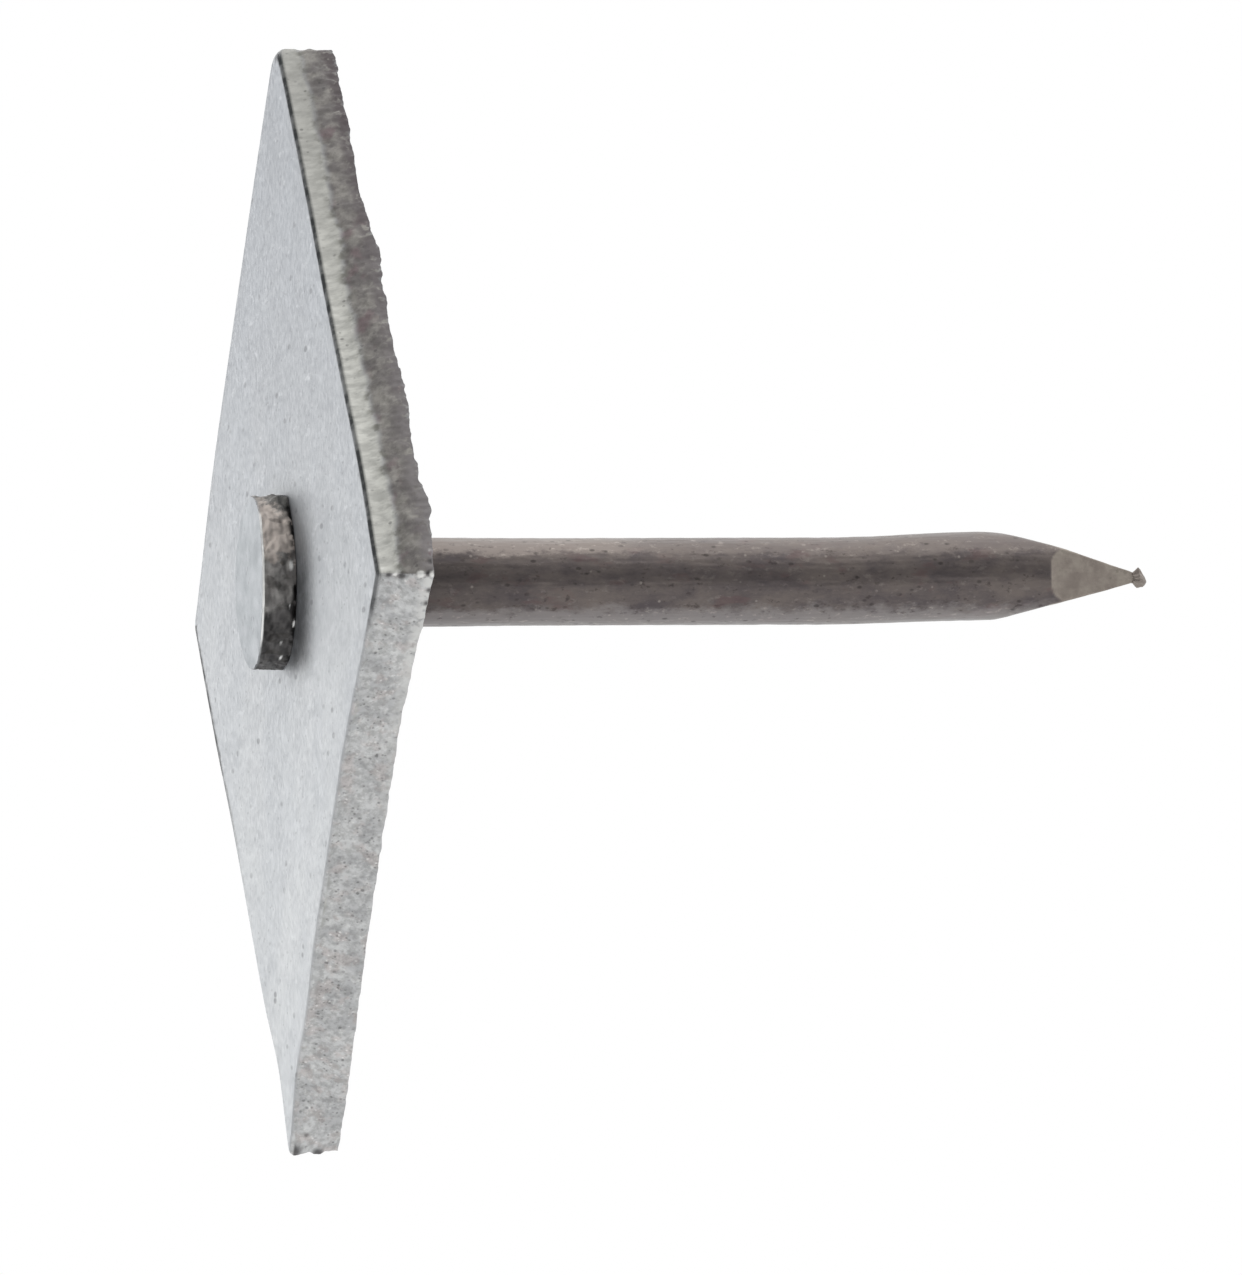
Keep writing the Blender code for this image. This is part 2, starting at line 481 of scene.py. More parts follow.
def bent(ring):
    """The shears bent the plate a little along the middle of its near side, towards the head."""
    inward = np.array([1, 1]) / 2**0.5
    along_side = np.array([1, -1]) / 2**0.5
    flat = ring[:, 1:] + np.array([0, HOLE_OFF_MIDDLE])
    share = flat @ along_side / PLATE_SIDE + 0.5
    hump = smoothstep(0, PLATE_BEND_RISE, share) * smoothstep(1, PLATE_BEND_FALL, share)
    reach = smoothstep(PLATE_BEND_START, PLATE_SIDE / 2, -(flat @ inward))
    moved = ring.copy()
    moved[:, 0] -= PLATE_BEND * hump * reach
    return moved


def side_values(key):
    """One of the sides' numbers, for every point of the outline."""
    return np.repeat([side[key] for side in SIDES.values()], STEPS_A_SIDE)


class Rows:
    """The rows of a surface under construction, with the numbers painted on them."""

    def __init__(self, **defaults):
        self.points = []
        self.defaults = defaults
        self.paint = {name: [] for name in defaults}

    def add(self, points, **painted):
        self.points.append(points)
        for name, default in self.defaults.items():
            self.paint[name].append(np.broadcast_to(painted.get(name, default), len(points)))

    def mesh(self, name, wrap_rows, turned_over=False):
        step = -1 if turned_over else 1
        mesh = closed_surface(name, np.array(self.points)[::step], wrap_rows)
        for key, values in self.paint.items():
            paint(mesh, key, np.array(values)[::step])
        mesh.shade_smooth()
        mesh.set_sharp_from_angle(angle=SHARP)
        return mesh


def drawn_in(ring, width):
    """The outline with every side moved in by width."""
    middle = np.array([0, -HOLE_OFF_MIDDLE])
    return middle + (ring - middle) * (1 - width / (PLATE_SIDE / 2))[:, None]


def dirt_and_shade_at(x):
    """How much dirt and painted shade can lie at depth x of the edge."""
    return smoothstep(1.6, 0.7, (x - PLATE_FRONT) / DARK_EDGE_DEPTH)


def add_face(rows, hole, inner):
    """The face under the head, from the hole outwards, with dirt and painted shade smeared along its edge."""
    start = SMEAR_START - SMEAR_WANDER * bump_noise(ring_at(inner, 0.0), 0.8 * MM, 3, shift=41)
    for share in 1 - np.geomspace(1, LAST_FACE_STEP, FACE_ROWS):
        smeared = side_values("smear") * smoothstep(start - SMEAR_SOFTNESS, start + SMEAR_SOFTNESS, share)
        rows.add(ring_at(mix(hole, inner, share), PLATE_FRONT), edge=SMEAR_STRENGTH * smeared)


def add_rollover(rows, front_ring, width, depth):
    """The edge that the shears rolled over."""
    for turn in np.linspace(0, pi / 2, ROLLOVER_ROWS):
        flat = drawn_in(front_ring, width * (1 - sin(turn)))
        x = PLATE_FRONT + depth * (1 - cos(turn))
        rolled = sin(turn) ** 2 * smoothstep(0, 0.3, side_values("burnish"))
        # dirt and painted shade on the rolled-over edge
        dirt_and_shade = dirt_and_shade_at(x) * np.maximum(side_values("smear"), smoothstep(-0.3, 0.3, turn))
        rows.add(ring_at(flat, x), burnish=rolled, fracture=sin(turn) ** 2 - rolled, edge=dirt_and_shade)


def wall_bumps(ring, broken):
    """How far the wall stands out: torn where it is broken, and drawn by the blade where it is not."""
    coarse = bump_noise(ring, 0.7 * MM, 4, shift=3)
    fine = bump_noise(ring, 0.2 * MM, 2, shift=17)
    drawn = bump_noise(ring, 0.12 * MM, 2, stretch=(12, 1, 1), shift=5)
    torn = TORN_COARSE * coarse + TORN_FINE * fine - TORN_BACK
    return (broken * torn + (1 - broken) * DRAWN_LINES * drawn) * MM


def add_wall(rows, front_ring, back_ring, out, rollover_depth):
    """The sheared wall: rubbed smooth by the blade, then broken."""
    perimeter = ring_at(front_ring, 0.0)
    wander = bump_noise(perimeter, 2.4 * MM, 3) * BORDER_WANDER
    ragged = bump_noise(perimeter, 0.4 * MM, 2, shift=9) * BORDER_RAGGED
    border = side_values("burnish") + (wander + ragged)
    for share in np.linspace(0, 1, WALL_ROWS)[1:]:
        x = mix(PLATE_FRONT + rollover_depth, PLATE_BACK, share)
        depth = (x - PLATE_FRONT) / (PLATE_BACK - PLATE_FRONT)
        broken = smoothstep(border - BORDER_BEFORE, border + BORDER_AFTER, depth)
        ring = ring_at(mix(front_ring, back_ring, smoothstep(0.1, 1.0, depth)[:, None]), x)
        ring[:, 1:] += out * wall_bumps(ring, broken)[:, None]
        soot, dark_spot_lift = spots_on(ring, DARK_SPOTS)
        chip, chip_lift = spots_on(ring, CHIPS)
        ring[:, 1:] += out * (dark_spot_lift + chip_lift)[:, None]
        # the band of painted shade along the border
        at_border = np.exp(-(((depth - border) / BORDER_WIDTH) ** 2))
        rows.add(
            ring, burnish=1 - broken, fracture=broken, wall=1.0, edge=dirt_and_shade_at(x), border=at_border,
            burr=smoothstep(STAIN_START, STAIN_END, depth), soot=soot, chip=chip,
        )


def add_back(rows, hole, out):
    """The burr, then the bearing face inwards to the hole, and the hole's wall back to the start."""
    last = rows.points[-1][:, 1:]
    height = np.concatenate([along_stations(side["burr"], SIDE_SHARES) for side in SIDES.values()])
    ragged = bump_noise(ring_at(last, 0.0), 0.8 * MM, 4, shift=31)
    burr = np.maximum(height * (1 + 0.5 * ragged) + 0.03 * ragged, LOWEST_BURR) * MM
    rows.add(ring_at(last + out * BURR_LEAN, PLATE_BACK + burr), fracture=0.6, wall=1.0, burr=1.0)
    rows.add(ring_at(last - out * BURR_WIDTH * 0.5, PLATE_BACK + burr * 0.7), fracture=0.4, burr=0.5)
    rim = drawn_in(last, np.full(len(last), BURR_WIDTH))
    rows.add(ring_at(rim, PLATE_BACK), fracture=0.2)
    for share in np.geomspace(FIRST_BACK_STEP, 1, BACK_ROWS):
        rows.add(ring_at(mix(rim, hole, share), PLATE_BACK))
    for share in HOLE_SHARES:
        rows.add(ring_at(hole, mix(PLATE_BACK, PLATE_FRONT, share)))


def make_plate_mesh():
    front_ring, back_ring = outline("front"), outline("back")
    out = outward_of(front_ring)
    hole = front_ring / np.linalg.norm(front_ring, axis=1)[:, None] * HOLE_RADIUS
    at_top = near_corner(front_ring, 0, TOP_ROLLOVER_SIZE)
    rollover_width = mix(ROLLOVER_WIDTH, TOP_ROLLOVER_WIDTH, at_top)
    rollover_depth = mix(ROLLOVER_DEPTH, TOP_ROLLOVER_DEPTH, at_top)

    rows = Rows(burnish=0.0, fracture=0.0, wall=0.0, edge=0.0, border=0.0, burr=0.0, soot=0.0, chip=0.0)
    add_face(rows, hole, drawn_in(front_ring, rollover_width))
    add_rollover(rows, front_ring, rollover_width, rollover_depth)
    add_wall(rows, front_ring, back_ring, out, rollover_depth)
    add_back(rows, hole, out)
    rows.points = [bent(ring) for ring in rows.points]

    mesh = rows.mesh("plate_surface", wrap_rows=True, turned_over=True)
    count = len(rows.points)
    for key in ("dark_edge", "bright_burr"):
        start, end = np.array([side[key] for side in SIDES.values()]).T
        values = np.clip(mix(start[:, None], end[:, None], SIDE_SHARES), 0, 1).ravel()
        paint(mesh, key, np.tile(values, (count, 1)))
    paint(mesh, "pale", np.tile(side_values("pale"), (count, 1)))
    return mesh


def face_colour(s):
    """Pale scale with fine drawn streaks and dark specks, with painted shade that darkens it higher up, and a
    painted shadow of the head.
    """
    # painted shade: the face is darker higher up and lighter towards the bottom
    high_up = s.between(s.along("Z"), -14 * MM, 18 * MM)
    face = s.blend(high_up, srgb("bbbec0"), srgb("92969c"))
    face = s.blend(s.between(s.noise(5 * MM, 3), 0.4, 0.6, 0, 0.3), face, srgb("a6abb1"))
    clouds = s.between(s.noise(0.7 * MM, 5, 0.6, stretch=(1, 3.5, 1)), 0.4, 0.72, 0, 0.3)
    face = s.blend(clouds, face, srgb("898d93"))
    pale_marks = s.between(s.noise(0.35 * MM, 3, 0.5, stretch=(1, 4, 1)), 0.62, 0.72, 0, 0.3)
    face = s.blend(pale_marks, face, srgb("cdd0d3"))
    face = s.blend(s.specks(0.6 * MM, 0.17, 0.6, stretch=(1, 3, 1)), face, srgb("54575b"))
    face = s.blend(s.specks(0.22 * MM, 0.2, 0.35, stretch=(1, 3, 1), shift=7), face, srgb("64676b"))
    # a painted shadow of the head, darkest on the near side of the face
    return s.blend(painted_head_shadow(s), face, srgb("3d3e41"))


def painted_head_shadow(s):
    """How much painted shadow of the head lies on the face round it. Most of it is on the near side, and none
    on the bearing face.
    """
    z = s.along("Z")
    near_side = s.times(
        s.between(s.along("Y"), -0.2 * MM, -2.4 * MM, 0.1, 0.9),
        s.between(z, 2.2 * MM, -0.4 * MM, 0.5, 1),
        s.between(z, 3.3 * MM, 2.0 * MM),
        s.between(z, -3.5 * MM, -2.4 * MM),
        s.between(s.along("X"), PLATE_FRONT, PLATE_BACK, 1, -1),
    )
    reach = s.between(s.from_nail(), 4.1 * MM, 7.2 * MM, 1, 0)
    patchy = s.between(s.noise(0.8 * MM, 4, stretch=(1, 2.5, 1)), 0.25, 0.6, 0.75, 1)
    return s.times(s.maths("MAXIMUM", 0, near_side), reach, patchy)


def rubbed_colour(s):
    """The band that the blade rubbed, duller near the top corner."""
    streaks = s.between(s.noise(0.3 * MM, 4, 0.6, stretch=(3, 1, 1)), 0.35, 0.65)
    rubbed = s.blend(streaks, srgb("acaca7"), srgb("c9c9c3"))
    return s.blend(s.between(s.along("Z"), 6 * MM, 17 * MM, 0, 0.55), rubbed, srgb("8b8a86"))


def broken_colour(s, grain):
    """Torn metal: stained brown and purple on some sides, and pale and speckled on others."""
    patches = s.between(s.noise(0.8 * MM, 4, 0.6), 0.38, 0.62)
    stained = s.blend(patches, srgb("716d6c"), srgb("96938e"))
    stained = s.blend(s.between(s.noise(1.3 * MM, 3), 0.55, 0.68, 0, 0.7), stained, srgb("776569"))
    pale = s.blend(patches, srgb("b9babb"), srgb("cfd0d0"))
    pale = s.blend(s.between(s.noise(0.35 * MM, 3), 0.56, 0.68, 0, 0.6), pale, srgb("dddedd"))
    pale = s.blend(s.between(s.noise(0.6 * MM, 3), 0.5, 0.62, 0, 0.35), pale, srgb("bfb2ae"))
    pale = s.blend(s.specks(0.17 * MM, 0.26, 0.6, shift=4), pale, srgb("6d6c6c"))
    pale = s.blend(s.specks(0.2 * MM, 0.22, 0.6, shift=8), pale, srgb("efefee"))
    broken = s.blend(s.attribute("pale"), stained, pale)
    return s.blend(s.between(grain, 0.35, 0.62, 0.35, 0), broken, srgb("45433f"))


def wall_border_shade_and_specks(s, colour):
    """Painted shade along the border between the rubbed and the broken metal, and dark specks on the wall."""
    strength = s.maths("SUBTRACT", 0.75, s.times(s.attribute("pale"), 0.45))
    # painted shade along the border between the rubbed and the broken metal
    border = s.times(s.attribute("border"), s.between(s.noise(0.5 * MM, 3), 0.45, 0.65), strength)
    colour = s.blend(border, colour, srgb("5c5b52"))
    return s.blend(s.times(s.specks(0.3 * MM, 0.2, 0.5), s.attribute("wall")), colour, srgb("3f3e3f"))


def burr_colour(s, colour):
    """The burr: stained dark, or bare where the metal is clean."""
    chipped = s.noise(0.28 * MM, 2)
    stained = s.times(s.attribute("burr"), s.maths("SUBTRACT", 1, s.attribute("pale")))
    colour = s.blend(s.times(stained, s.between(chipped, 0.36, 0.5, 0, 0.85)), colour, srgb("4a4144"))
    bare = s.times(s.attribute("burr"), s.attribute("bright_burr"), s.between(chipped, 0.35, 0.5))
    return s.blend(bare, colour, srgb("d2d2d0"))


def plate_material():
    """The face under and round the head, the rubbed and broken edge, the dirt on them, and shade and the
    head's shadow painted on them.
    """
    s = Shader("plate_steel_look")
    grain = s.noise(0.22 * MM, 4, 0.65)
    colour = s.blend(s.attribute("burnish"), face_colour(s), rubbed_colour(s))
    colour = s.blend(s.attribute("fracture"), colour, broken_colour(s, grain))
    colour = wall_border_shade_and_specks(s, colour)
    # dirt and painted shade along the rolled-over edge, smeared onto the face on some sides
    edge_dirt_and_shade = s.times(
        s.attribute("edge"), s.attribute("dark_edge"), s.between(s.noise(0.6 * MM, 3), 0.35, 0.6, 0.65, 0.95)
    )
    colour = s.blend(edge_dirt_and_shade, colour, srgb("37393a"))
    colour = burr_colour(s, colour)
    # dark spots near the corners
    colour = s.blend(s.times(s.attribute("soot"), 0.85), colour, srgb("3a3738"))
    colour = s.blend(s.times(s.attribute("chip"), 0.9), colour, srgb("efefec"))
    s.feed(s.surface.inputs["Base Color"], colour)
    # the dirt and painted shade on the edge don't shine
    for name in ("Metallic", "Specular IOR Level"):
        s.feed(s.surface.inputs[name], s.between(edge_dirt_and_shade, 0, 1, 0.5, 0))
    s.feed(s.surface.inputs["Roughness"], s.between(grain, 0.2, 0.8, 0.45, 0.65))
    s.feed(s.surface.inputs["Normal"], s.bump(grain, 0.012 * MM, 0.5))
    return s.material


# The nail


# How finely the nail's skin is divided: points round it, and rows along each part of it.
AROUND = 224
SHANK_ROWS = 230
RIM_ROWS = 26
RIM_EDGE_ROWS = 5
STRUCK_ROWS = 18
POINT_STEP = 0.06 * MM
UNDERSIDE_SHARES = (0.3, 0.6, 0.85)
STRUCK_MIDDLE = 0.03

# How far past the long facets the point's rows go on, and where the shank's rows start.
POINT_ROWS_END = 0.5 * MM
SHANK_ROWS_START = 0.55 * MM

# The shank bends up a little between two places, and its tip drops again.
NAIL_BEND = 0.15 * MM
NAIL_BEND_START = 16 * MM
NAIL_BEND_END = 21.5 * MM
TIP_START = 22.5 * MM
TIP_DROP = 0.07 * MM

# The shares by which the wire is thicker near its root and thinner along its middle.
ROOT_SWELL = 0.012
MIDDLE_DRAW = 0.02
TAPER_LENGTH = 7 * MM

# The side facets start with a small step. A higher sharpness makes the facets' edges crisper.
SHOULDER_DEPTH = 0.09 * MM
SHOULDER_LENGTH = 0.07 * MM
FACET_SHARPNESS = 36.0
LEAST_SLOPE = 1e-6

# The head: its gap to the plate, the rounding of its rim, and how far its face falls back above and below.
HEAD_GAP = 0.02 * MM
RIM_EDGE = 0.08 * MM
FACE_DROOP = 0.10 * MM

# Bumps in mm: drawn lines and scale on the wire, then dents, lumps and creases on the rim, and how far the
# rim lies back.
WIRE_LINES = 0.007
WIRE_SCALE = 0.008
RIM_DENTS = 0.08
RIM_LUMPS = 0.03
CREASE_DEPTH = 0.02
RIM_BACK = 0.03

# A lump of flash on the rim by the plate: its height in mm, its width in radians, and its angle from +Y.
FLASH_HEIGHT = 0.14
FLASH_WIDTH = 0.22
FLASH_ANGLE = radians(112)

# Painted highlights on the rim: the height in mm, the share of the way to the plate, and the size in mm.
RIM_GLINTS = (
    (0.45, 0.84, 0.16), (-0.85, 0.80, 0.07), (-1.4, 0.97, 0.11), (-2.0, 0.62, 0.06), (-2.45, 0.7, 0.08),
)
# A highlight's width as a share of its height, and the shares of its size where it starts and where it is
# full.
GLINT_NARROWNESS = 0.45
GLINT_FADE = (1.3, 0.5)

# The nub on the tip, in rings: the share of its length, how far it reaches in mm, and how far it hangs in mm.
NUB = (
    (1.00, 0.05, 0.13), (0.88, 0.14, 0.12), (0.74, 0.22, 0.10), (0.58, 0.29, 0.04), (0.42, 0.34, 0.02),
    (0.28, 0.31, 0.05), (0.14, 0.25, 0.04), (0.0, 0.19, 0.02),
)


def flattened(radius, above, beside, angle):
    """How far a round wire reaches at each angle once it is pressed flat above and beside its axis."""
    to_top = above / np.maximum(np.abs(np.sin(angle)), LEAST_SLOPE)
    to_side = beside / np.maximum(np.abs(np.cos(angle)), LEAST_SLOPE)
    powers = sum((radius / limit) ** FACET_SHARPNESS for limit in (radius, to_top, to_side))
    return radius / powers ** (1 / FACET_SHARPNESS)


def point_radius(x, angle):
    """The wire's radius at x along the point, all the way round."""
    above = mix(POINT_HALF_WIDTH, SHANK_RADIUS, (POINT_END - x) / LONG_FACET)
    past_shoulder = max(0.0, x - (POINT_END - SHORT_FACET))
    step = SHOULDER_DEPTH * (1 - np.exp(-past_shoulder / SHOULDER_LENGTH))
    shoulder = step * (1 - past_shoulder / SHORT_FACET)
    beside = mix(POINT_HALF_WIDTH, SHANK_RADIUS, (POINT_END - x) / SHORT_FACET) - shoulder
    return flattened(SHANK_RADIUS, above, beside, angle)


def add_nub(rows, angle, circle):
    """The small lumpy nub that was left on the tip."""
    spread = np.abs(np.cos(angle)) + np.abs(np.sin(angle))
    for share, reach, hang in NUB:
        lump = 1 + 0.10 * np.cos(3 * angle + 1.0) + 0.06 * np.cos(7 * angle)
        ring = circle * (reach * MM * lump / spread ** 0.8)[:, None] - np.array([0, hang * MM])
        rows.add(ring_at(ring, POINT_END + (NUB_END - POINT_END) * share), facet=0.7)


def add_head(rows, circle, underside):
    """The head's underside, its rim, the rim's rounded edge and the struck face."""
    for share in UNDERSIDE_SHARES:
        rows.add(ring_at(circle * mix(SHANK_RADIUS, HEAD_RADIUS, share), underside), rim=share)
    for share in np.linspace(0, 1, RIM_ROWS):
        x = mix(underside, HEAD_FACE + RIM_EDGE, share)
        rows.add(ring_at(circle * HEAD_RADIUS, x), rim=1.0, depth=1 - share)
    for turn in np.linspace(0, pi / 2, RIM_EDGE_ROWS)[1:]:
        radius = HEAD_RADIUS - RIM_EDGE * (1 - cos(turn))
        x = HEAD_FACE + RIM_EDGE * (1 - sin(turn))
        rows.add(ring_at(circle * radius, x), struck=sin(turn), rim=cos(turn))
    for share in np.linspace(1, STRUCK_MIDDLE, STRUCK_ROWS)[1:]:
        rows.add(ring_at(circle * (HEAD_RADIUS - RIM_EDGE) * share, HEAD_FACE), struck=1.0)


def glint_at(grid, depth, chip):
    """1 at the middle of a painted highlight on the rim, falling to 0 past its edge. They are taller than
    wide.
    """
    height, share, size = chip
    above = (grid[..., 2] - height * MM) / (size * MM)
    across = (depth - share) * (PLATE_FRONT - HEAD_FACE) / (GLINT_NARROWNESS * size * MM)
    return smoothstep(*GLINT_FADE, np.hypot(above, across))


def flash_at(grid, depth):
    """How far the lump of flash stands out at each point, in mm."""
    from_flash = (np.arctan2(grid[..., 2], grid[..., 1]) - FLASH_ANGLE) / FLASH_WIDTH
    return FLASH_HEIGHT * np.exp(-(from_flash**2)) * smoothstep(0.3, 0.7, depth)


def drawn_width(x):
    """How thick the wire is along the nail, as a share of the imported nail's."""
    before_point = smoothstep(POINT_END - 1.2 * LONG_FACET, POINT_END - 2 * LONG_FACET, x)
    thinner = smoothstep(0, TAPER_LENGTH, x) * before_point
    root = 1 + ROOT_SWELL * (x > PLATE_FRONT) * (x < TAPER_LENGTH)
    return mix(root, 1 - MIDDLE_DRAW, thinner)


def roughen_nail(rows):
    """Draws the wire, hammers the rim, and bends the shank a little upwards."""
    grid = np.array(rows.points)
    on_rim, on_struck = np.array(rows.paint["rim"]), np.array(rows.paint["struck"])
    depth = np.array(rows.paint["depth"])
    outwards = grid * np.array([0, 1, 1])
    outwards /= np.linalg.norm(outwards, axis=-1)[..., None]
    x = grid[..., 0]
    drawn = bump_noise(grid, 0.12 * MM, 3, stretch=(14, 1, 1))
    scale = bump_noise(grid, 0.5 * MM, 4, shift=11)
    dents = bump_noise(grid, 0.9 * MM, 3, shift=23)
    creases = smoothstep(0.7, 1.0, 1 - 2 * np.abs(bump_noise(grid, 0.8 * MM, 2, shift=41)))
    lumps = bump_noise(grid, 0.2 * MM, 3, shift=57)
    flash = flash_at(grid, depth)
    soft = (WIRE_LINES * drawn + WIRE_SCALE * scale) * (1 - on_struck)
    rough = on_rim * (RIM_DENTS * dents + RIM_LUMPS * lumps + flash - CREASE_DEPTH * creases - RIM_BACK)
    grid += outwards * ((soft + rough) * MM)[..., None]
    grid[..., 1:] *= drawn_width(x)[..., None]
    bend = NAIL_BEND * smoothstep(NAIL_BEND_START, NAIL_BEND_END, x)
    grid[..., 2] += bend - TIP_DROP * smoothstep(TIP_START, POINT_END, x)
    on_head = np.maximum(on_rim, on_struck)
    grid[..., 0] += FACE_DROOP * (grid[..., 2] / HEAD_RADIUS) ** 2 * on_head * (1 - depth)
    rows.points = list(grid)
    rows.paint["crease"] = list(creases * on_rim)
    # the rim's painted highlights
    rows.paint["chip"] = list(sum(glint_at(grid, depth, chip) for chip in RIM_GLINTS) * on_rim)


def make_nail_mesh():
    angle = np.arange(AROUND) * 2 * pi / AROUND
    circle = np.stack([np.cos(angle), np.sin(angle)], axis=1)
    rows = Rows(struck=0.0, facet=0.0, rim=0.0, depth=0.0)
    add_nub(rows, angle, circle)
    long_end = POINT_END - LONG_FACET
    for x in np.arange(POINT_END - POINT_STEP, long_end - POINT_ROWS_END, -POINT_STEP):
        radius = point_radius(x, angle)
        on_side = smoothstep(0.0, 0.03 * MM, x - (POINT_END - SHORT_FACET)) * (np.abs(np.cos(angle)) > 0.3)
        pressed = smoothstep(0.004, 0.02, 1 - radius / SHANK_RADIUS)
        rows.add(ring_at(circle * radius[:, None], x), facet=on_side * pressed)
    underside = PLATE_FRONT - HEAD_GAP
    for x in np.linspace(long_end - SHANK_ROWS_START, underside, SHANK_ROWS):
        rows.add(ring_at(circle * SHANK_RADIUS, x))
    add_head(rows, circle, underside)
    roughen_nail(rows)
    return rows.mesh("nail_surface", wrap_rows=False)


def painted_sheen_shares(s):
    """How far the wire is painted lighter along its top and along its bottom, as painted reflections of the
    bright surroundings.
    """
    ragged = s.between(s.noise(0.5 * MM, 5, 0.7, stretch=(1.6, 1, 1)), 0.25, 0.75, -0.22 * MM, 0.22 * MM)
    height = s.maths("ADD", s.along("Z"), ragged)
    high = s.between(height, 0.72 * MM, 1.0 * MM, 0, 0.8)
    low = s.between(height, -0.7 * MM, -1.15 * MM, 0, 0.65)
    return s.times(high, s.between(s.along("X"), 8.5 * MM, 11 * MM, 1, 0.45)), low


def wire_colour(s, mottle):
    """Drawn wire: dark oxide with warm flecks along it, painted reflections lighter above and below, and
    painted shade darkest by the plate.
    """
    skin = s.blend(s.between(mottle, 0.3, 0.7), srgb("534d4f"), srgb("6f6763"))
    reddish = s.between(s.noise(0.8 * MM, 4, 0.6, stretch=(2, 1, 1)), 0.56, 0.66, 0, 0.4)
    skin = s.blend(reddish, skin, srgb("644f4f"))
    # painted reflections along the top and the bottom of the wire
    high, low = painted_sheen_shares(s)
    skin = s.blend(high, skin, srgb("8f8680"))
    skin = s.blend(low, skin, srgb("8f8b8a"))
    sheen = s.maths("MAXIMUM", high, low)
    flecks = s.between(s.noise(0.22 * MM, 5, 0.7, stretch=(1.6, 1, 1)), 0.55, 0.7, 0, 0.38)
    skin = s.blend(s.times(flecks, s.maths("ADD", sheen, 0.3)), skin, srgb("c4bbb3"))
    stains = s.between(s.noise(0.25 * MM, 4, 0.7, stretch=(1.6, 1, 1)), 0.58, 0.7, 0, 0.55)
    skin = s.blend(stains, skin, srgb("3a3333"))
    # painted shade on the wire near the plate, except where it is painted lighter
    root_shade = s.times(s.between(s.along("X"), 1 * MM, 8 * MM, 0.5, 0), s.maths("SUBTRACT", 1, sheen))
    skin = s.blend(root_shade, skin, srgb("35302f"))
    skin = s.blend(s.specks(0.3 * MM, 0.2, 0.6, stretch=(1.6, 1, 1)), skin, srgb("2d2928"))
    return s.blend(s.specks(0.5 * MM, 0.1, 0.3, shift=5), skin, srgb("bdb5ad"))


def facet_colour(s):
    """Bare cut metal on the point's side facets and its nub."""
    metal = s.blend(s.between(s.noise(0.6 * MM, 4), 0.35, 0.65), srgb("857c75"), srgb("989087"))
    return s.blend(s.specks(0.4 * MM, 0.2, 0.4), metal, srgb("5d5a50"))


def rim_colour(s):
    """The forged rim: burnt below and at the very top, bare between, with dark creases, painted shade in the
    gap by the plate and painted highlights.
    """
    height = s.maths("ADD", s.along("Z"), s.between(s.noise(0.7 * MM, 5, 0.6), 0.2, 0.8, -0.7 * MM, 0.7 * MM))
    forged = s.blend(s.between(s.noise(0.6 * MM, 4), 0.35, 0.65), srgb("888583"), srgb("b4b1ae"))
    forged = s.blend(s.between(height, 0, -1.6 * MM, 0, 0.8), forged, srgb("464546"))
    bare = s.times(s.between(height, 0.6 * MM, 1.0 * MM), s.between(height, 2.7 * MM, 2.2 * MM), 0.9)
    forged = s.blend(bare, forged, srgb("d0c6be"))
    forged = s.blend(s.between(height, 2.3 * MM, 2.9 * MM, 0, 0.7), forged, srgb("464743"))
    blotches = s.between(s.noise(0.45 * MM, 3, 0.5), 0.55, 0.68, 0, 0.45)
    forged = s.blend(blotches, forged, srgb("36322d"))
    forged = s.blend(s.times(s.attribute("crease"), 0.3), forged, srgb("2c2926"))
    patchy = s.between(s.noise(0.6 * MM, 3), 0.4, 0.52, 0.1, 1)
    # painted shade in the gap between the head and the plate
    gap_shade = s.times(s.between(s.attribute("depth"), 0.78, 0.95), patchy)
    forged = s.blend(gap_shade, forged, srgb("100f0f"))
    # painted highlights on the rim
    return s.blend(s.attribute("chip"), forged, srgb("f4f4f2"))


def struck_colour(s):
    """The struck face, as pale as the plate."""
    streaks = s.between(s.noise(0.8 * MM, 5, 0.6, stretch=(1, 3.5, 1)), 0.35, 0.65)
    face = s.blend(streaks, srgb("969b9f"), srgb("a5a9ad"))
    return s.blend(s.specks(0.4 * MM, 0.2, 0.5), face, srgb("6d7074"))


def nail_material():
    s = Shader("wire_steel_look")
    mottle = s.noise(0.9 * MM, 6, 0.7, stretch=(2, 1, 1))
    skin = s.blend(s.attribute("facet"), wire_colour(s, mottle), facet_colour(s))
    skin = s.blend(s.attribute("rim"), skin, rim_colour(s))
    skin = s.blend(s.attribute("struck"), skin, struck_colour(s))
    # a painted highlight along the near side of the rounded edge between the rim and the struck face
    painted_edge_highlight = s.times(
        s.between(s.attribute("rim"), 0, 0.2),
        s.between(s.attribute("struck"), 0.1, 0.4),
        s.between(s.along("Y"), -1.3 * MM, -2.3 * MM),
    )
    skin = s.blend(painted_edge_highlight, skin, srgb("f2f2f0"))
    s.feed(s.surface.inputs["Base Color"], skin)
    s.surface.inputs["Metallic"].default_value = 0.8
    # the head is a little less glossy than the wire
    duller_head = s.times(s.maths("MAXIMUM", s.attribute("struck"), s.attribute("rim")), 0.2)
    s.feed(s.surface.inputs["Roughness"], s.maths("ADD", s.between(mottle, 0.2, 0.8, 0.3, 0.44), duller_head))
    fine_lines = s.noise(0.15 * MM, 4, 0.65, stretch=(3, 1, 1))
    s.feed(s.surface.inputs["Normal"], s.bump(fine_lines, 0.01 * MM, 0.6))
    return s.material


# The studio


FLOOR_DROP = 30 * MM
FLOOR_SIZE = 0.8

# How strong the surroundings are on the camera's side, behind the object, above it and on the head's side.
FRONT_LIGHT = 0.42
BACK_LIGHT = 1.0
TOP_LIGHT = 1.5
LEFT_LIGHT = 0.45

